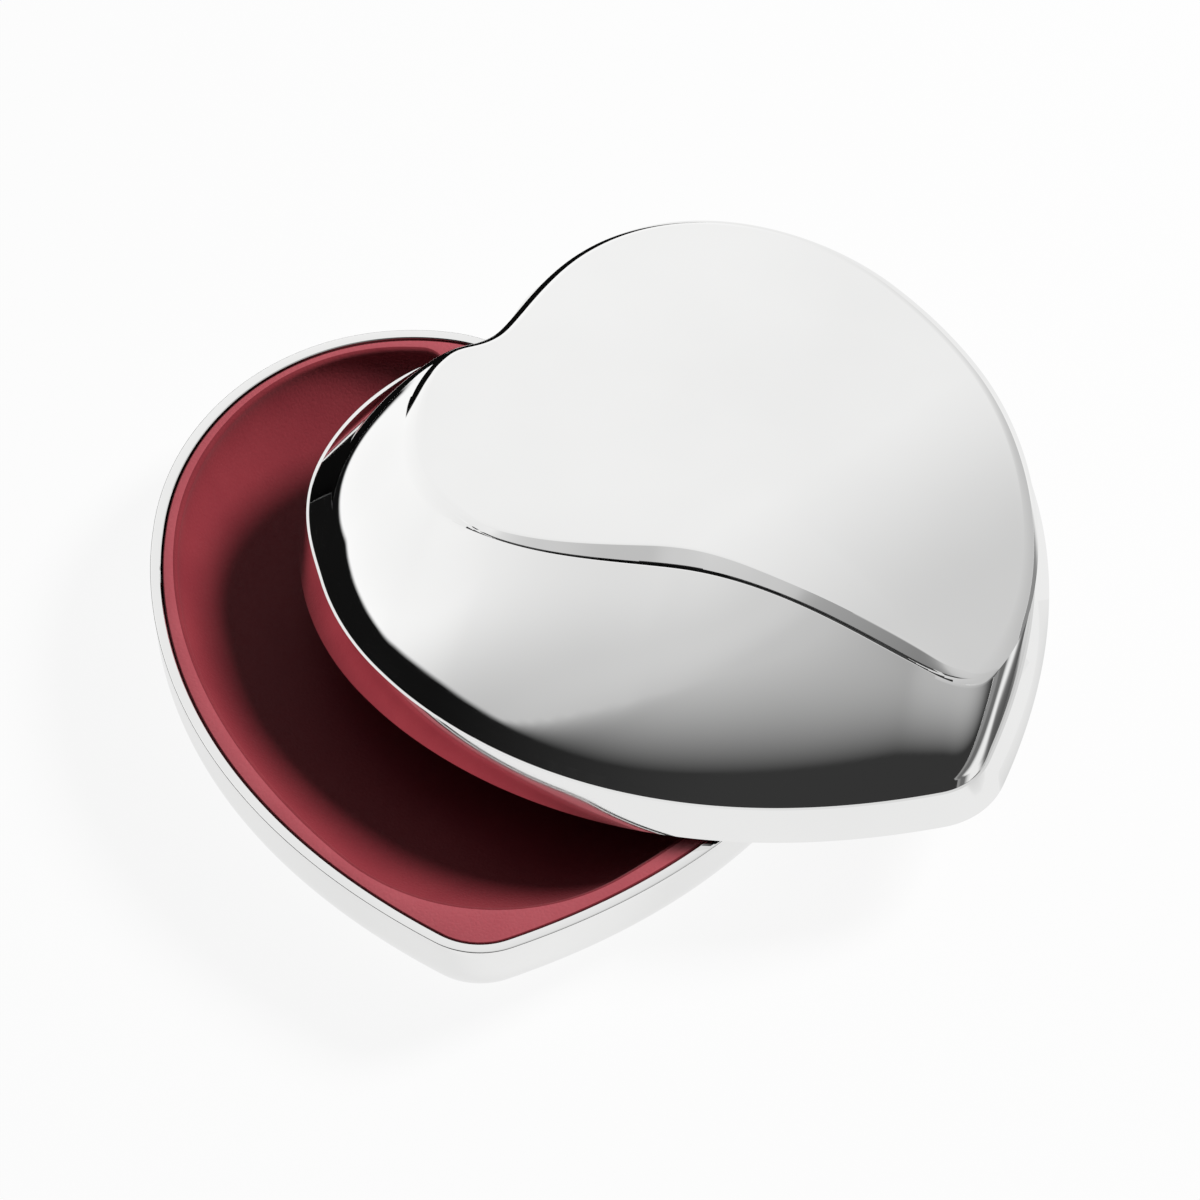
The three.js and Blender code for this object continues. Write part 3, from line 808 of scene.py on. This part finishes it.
# The light tent, brightest at the back, with a dark flag at its foot. The flag starts at FLAG_FROM. Where it
# rises, softens, lightens and ends, and where the back ends and starts, is counted on from there.
TENT_RADIUS = 1.5
TENT_MESH = (180, 90)
TENT_HIGH = 0.74
TENT_SIDE = 0.56
TENT_BACK = 1.05
TENT_FADE = 0.8
BACK_ENDS = (62, 100)
BACK_STARTS = (290, 345)
FLAG_DARK = 0.006
FLAG_FRONT = 0.036
FLAG_FROM = 120
FLAG_LOW = 3
FLAG_HIGH = 42
FLAG_CRISP = 2.5
FLAG_SOFT = 30
FLAG_RISES = (0, 139)
FLAG_SOFTENS = (101, 120)
FLAG_LIGHTENS = (85, 150)
FLAG_ENDS = (140, 240)

# The black card on the floor, as a band about CARD_CENTRE
CARD_CENTRE = (0.006, -0.003)
CARD_AZIMUTHS = (95, 215)
CARD_POINTS = 61
CARD_NEAR_AT = (135, 180)
CARD_NEAR = (0.036, 0.062)
CARD_FAR = 1.4
CARD_UP = 0.0001
CARD_BLACK = 0.004

# The shade close to the lid's right side: along the rim in points from its first, and out by shares of a
# reach in millimetres
SHADOW_STEPS = (-12, 76)
SHADOW_FADES_IN = (-12, -2)
SHADOW_FADES_OUT = (60, 75)
SHADOW_REACH = (20, 11)
SHADOW_SHARES = (-0.3, 0, 0.15, 0.3, 0.45, 0.6, 0.75, 0.9, 1)
SHADOW_LEAVES = (0.5, 1)
SHADOW_DARK = 0.045
SHADOW_LIGHT = 0.25

# The darker floor far off the lid's point: where it starts at each azimuth, and out by multiples of that
FAR_AZIMUTHS = (-62, -45, -28, -19, -8, 2, 22, 45)
FAR_FROM = (0.09, 0.075, 0.043, 0.036, 0.031, 0.028, 0.025, 0.024)
FAR_POINTS = 40
FAR_FADES_IN = (-62, -42)
FAR_FADES_OUT = (35, 45)
FAR_TIMES = (1, 1.15, 1.3, 1.5, 1.8, 2.5, 4, 8, 30)
FAR_DARKENS = (1, 1.5)
FAR_LIGHT_FROM = 3
FAR_DARK = 0.15
FAR_LIGHT = 0.27
FAR_DOWN = 0.0001

KEY_LAMP = dict(azimuth=33, elevation=38, distance=0.8, size=0.25, power=9.0)


def camera():
    data = bpy.data.cameras.new("camera")
    data.sensor_width = SENSOR
    data.lens = SENSOR * FOCAL_SHARE
    data.clip_start, data.clip_end = CAMERA_CLIP
    eye = bpy.data.objects.new("camera", data)
    eye.location = CAMERA_AIM + CAMERA_WAY.normalized() * CAMERA_DISTANCE
    eye.rotation_euler = (-CAMERA_WAY).to_track_quat("-Z", "Y").to_euler()
    bpy.context.scene.collection.objects.link(eye)
    bpy.context.scene.camera = eye


def seen_in_mirrors(nodes, links):
    """One for camera rays and for rays that mirrors or glass send on, else nothing."""
    path = nodes.new("ShaderNodeLightPath")
    value = path.outputs["Is Camera Ray"]
    for kind in ("Is Glossy Ray", "Is Transmission Ray"):
        either = nodes.new("ShaderNodeMath")
        either.operation = "MAXIMUM"
        links.new(value, either.inputs[0])
        links.new(path.outputs[kind], either.inputs[1])
        value = either.outputs["Value"]
    return value


def strength_from(nodes, links, value, low, socket):
    """Leads a strength into a socket: low where the value is nothing, and one where it is one."""
    strength = nodes.new("ShaderNodeMapRange")
    strength.inputs["To Min"].default_value = low
    strength.inputs["To Max"].default_value = 1.0
    links.new(value, strength.inputs["Value"])
    links.new(strength.outputs["Result"], socket)


def floor():
    """A white floor that takes shadows and bounce light, and mostly glows where it is seen or mirrored."""
    bpy.ops.mesh.primitive_plane_add(size=FLOOR_SIDE, location=(0, 0, -FLOOR_DOWN))
    obj = bpy.context.object
    obj.name = "floor"
    material, nodes, links, shader = node_material("floor_white")
    shader.inputs["Base Color"].default_value = grey(FLOOR_WHITE)
    shader.inputs["Roughness"].default_value = FLOOR_ROUGH
    shader.inputs["Specular IOR Level"].default_value = 0.0
    glow = nodes.new("ShaderNodeEmission")
    path = nodes.new("ShaderNodeLightPath")
    strength_from(nodes, links, path.outputs["Is Camera Ray"], FLOOR_MIRRORED, glow.inputs["Strength"])
    blend = nodes.new("ShaderNodeMixShader")
    part = nodes.new("ShaderNodeMath")
    part.operation = "MULTIPLY"
    part.inputs[1].default_value = FLOOR_GLOW
    links.new(seen_in_mirrors(nodes, links), part.inputs[0])
    links.new(part.outputs["Value"], blend.inputs["Fac"])
    links.new(shader.outputs["BSDF"], blend.inputs[1])
    links.new(glow.outputs["Emission"], blend.inputs[2])
    links.new(blend.outputs["Shader"], nodes["Material Output"].inputs["Surface"])
    material.cycles.emission_sampling = "NONE"
    obj.data.materials.append(material)


def world():
    """White where it is seen or mirrored, and a faint light elsewhere."""
    scene = bpy.context.scene
    scene.world = bpy.data.worlds.new("world")
    scene.world.use_nodes = True
    nodes, links = scene.world.node_tree.nodes, scene.world.node_tree.links
    sky = nodes["Background"]
    sky.inputs["Color"].default_value = (1, 1, 1, 1)
    strength_from(nodes, links, seen_in_mirrors(nodes, links), AMBIENT, sky.inputs["Strength"])


def reflected_only(obj):
    """The object shows in reflections and nowhere else."""
    obj.visible_camera = False
    obj.visible_diffuse = False
    obj.visible_shadow = False


def reflected_sheet(name, points, faces, material, shades=None):
    """A surface that shows in reflections only, with a shade for each point where its material reads one."""
    mesh = bpy.data.meshes.new(name)
    mesh.from_pydata(np.asarray(points).tolist(), [], faces)
    if shades is not None:
        mesh.attributes.new("shade", "FLOAT", "POINT").data.foreach_set("value", shades)
    mesh.materials.append(material)
    obj = bpy.data.objects.new(name, mesh)
    bpy.context.scene.collection.objects.link(obj)
    reflected_only(obj)


def glowing(name, points, faces, shades):
    """A reflected surface that glows by its points' shades."""
    material, nodes, links, shader = node_material(name)
    nodes.remove(shader)
    glow = nodes.new("ShaderNodeEmission")
    shade = nodes.new("ShaderNodeAttribute")
    shade.attribute_name = "shade"
    links.new(shade.outputs["Fac"], glow.inputs["Strength"])
    links.new(glow.outputs["Emission"], nodes["Material Output"].inputs["Surface"])
    material.cycles.emission_sampling = "NONE"
    reflected_sheet(name, points, faces, material, shades)


def tent_light(azimuth, elevation):
    """How light the tent is in a direction: a flag with a rising edge stands from the back left round to the
    front, crisp on the left and soft at the front, and the tent is brightest at the back."""
    round_left = (azimuth - FLAG_FROM) % 360
    standing = 1 - smoothstep(round_left, *FLAG_ENDS)
    edge = mix(FLAG_LOW, FLAG_HIGH, smoothstep(round_left, *FLAG_RISES)) * standing
    soft = mix(FLAG_CRISP, FLAG_SOFT, smoothstep(round_left, *FLAG_SOFTENS))
    behind = 1 - smoothstep(round_left, *BACK_ENDS) + smoothstep(round_left, *BACK_STARTS)
    low = mix(TENT_SIDE, TENT_BACK, behind)
    dark = mix(FLAG_DARK, FLAG_FRONT, smoothstep(round_left, *FLAG_LIGHTENS))
    if round_left > FLAG_ENDS[1]:
        edge, soft = 0.0, 0.0
    if elevation < edge + soft:
        return mix(dark, low, max(elevation - edge, 0) / soft)
    rise = (elevation - edge - soft) / (90 - edge - soft)
    return mix(TENT_HIGH, low, (1 - rise) ** TENT_FADE)


def tent():
    """A dome of soft light with a flag at its foot."""
    around, up = TENT_MESH
    points, faces, shades = [], [], []
    for j in range(up):
        elevation = 90 * j / up
        for i in range(around):
            azimuth = 360 * i / around
            a, e = math.radians(azimuth), math.radians(elevation)
            points.append((TENT_RADIUS * math.cos(e) * math.cos(a), TENT_RADIUS * math.cos(e) * math.sin(a),
                           TENT_RADIUS * math.sin(e)))
            shades.append(tent_light(azimuth, elevation))
    points.append((0, 0, TENT_RADIUS))
    shades.append(TENT_HIGH)
    top = len(points) - 1
    for j in range(up - 1):
        for i in range(around):
            a, b = j * around + i, j * around + (i + 1) % around
            faces.append((a, a + around, b + around, b))
    for i in range(around):
        faces.append(((up - 1) * around + i, top, (up - 1) * around + (i + 1) % around))
    glowing("light_tent", points, faces, shades)


def sheet_faces(rows, count):
    """The faces of an open sheet of rows with equal counts of points."""
    return [(j * count + k, j * count + k + 1, (j + 1) * count + k + 1, (j + 1) * count + k)
            for j in range(rows - 1) for k in range(count - 1)]


def floor_card():
    """A black card on the floor from the back round to the left, outside the picture or behind the box."""
    azimuth = np.linspace(*CARD_AZIMUTHS, CARD_POINTS)
    turn = np.radians(azimuth)
    near = np.interp(azimuth, CARD_NEAR_AT, CARD_NEAR)
    x, y = CARD_CENTRE
    sides = [np.column_stack([r * np.cos(turn) + x, r * np.sin(turn) + y, np.full(CARD_POINTS, CARD_UP)])
             for r in (near, CARD_FAR)]
    material, _, _, shader = node_material("card_black")
    shader.inputs["Base Color"].default_value = grey(CARD_BLACK)
    shader.inputs["Specular IOR Level"].default_value = 0.0
    reflected_sheet("floor_card", np.vstack(sides), sheet_faces(2, CARD_POINTS), material)


def floor_patch(name, rows, shade, shown):
    """A patch for the metal to mirror that darkens the floor, with a shade for each row; close to the lid
    this is painted shadow. It shows as far as shown says along the rows, and elsewhere it is as light as the
    metal sees the floor."""
    shades = mix(FLOOR_IN_METAL, shade[:, None], shown[None])
    glowing(name, np.vstack(rows), sheet_faces(len(rows), len(shown)), shades.ravel())


def mirrored_shadow():
    """The shade on the floor close to the lid's right side."""
    rim = heart(**RIM_HEART)
    step = np.arange(*SHADOW_STEPS)
    out = -inward(rim)[step] * mix(*SHADOW_REACH, smoothstep(step, 0, SHADOW_STEPS[1]))[:, None]
    shares = np.array(SHADOW_SHARES)
    rows = [turned(ring(rim[step] + out * s, 0)) * (1, 1, 0) * MM for s in shares]
    # Painted shadow: dark close to the lid, lighter outwards
    shade = mix(SHADOW_DARK, SHADOW_LIGHT, np.maximum(shares, 0))
    shade = mix(shade, FLOOR_IN_METAL, smoothstep(shares, *SHADOW_LEAVES))
    floor_patch("mirrored_shadow", rows, shade, within(step, SHADOW_FADES_IN, SHADOW_FADES_OUT))


def far_floor():
    """The darker floor far to the right of the lid's point."""
    x, y, _ = turned(ring(top_outline()[:1], 0))[0] * MM
    azimuth = np.linspace(FAR_AZIMUTHS[0], FAR_AZIMUTHS[-1], FAR_POINTS)
    start = np.interp(azimuth, FAR_AZIMUTHS, FAR_FROM)
    turn = np.radians(azimuth)
    times = np.array(FAR_TIMES)
    rows = [np.column_stack([x + r * start * np.cos(turn), y + r * start * np.sin(turn), 0 * turn - FAR_DOWN])
            for r in times]
    shade = mix(FLOOR_IN_METAL, FAR_DARK, smoothstep(times, *FAR_DARKENS))
    shade = shade + (FAR_LIGHT - FAR_DARK) * (times > FAR_LIGHT_FROM)
    floor_patch("far_floor", rows, shade, within(azimuth, FAR_FADES_IN, FAR_FADES_OUT))


def lamp(name, azimuth, elevation, distance, size, power):
    """A round lamp that looks at the origin and isn't mirrored."""
    data = bpy.data.lights.new(name, "AREA")
    data.shape = "DISK"
    data.size = size
    data.energy = power
    a, e = math.radians(azimuth), math.radians(elevation)
    way = Vector((math.cos(e) * math.cos(a), math.cos(e) * math.sin(a), math.sin(e)))
    obj = bpy.data.objects.new(name, data)
    obj.location = way * distance
    obj.rotation_euler = way.to_track_quat("Z", "Y").to_euler()
    obj.visible_glossy = False
    bpy.context.scene.collection.objects.link(obj)


camera()
floor()
world()
tent()
floor_card()
mirrored_shadow()
far_floor()
lamp("key", **KEY_LAMP)

bpy.context.scene.view_settings.view_transform = "Standard"
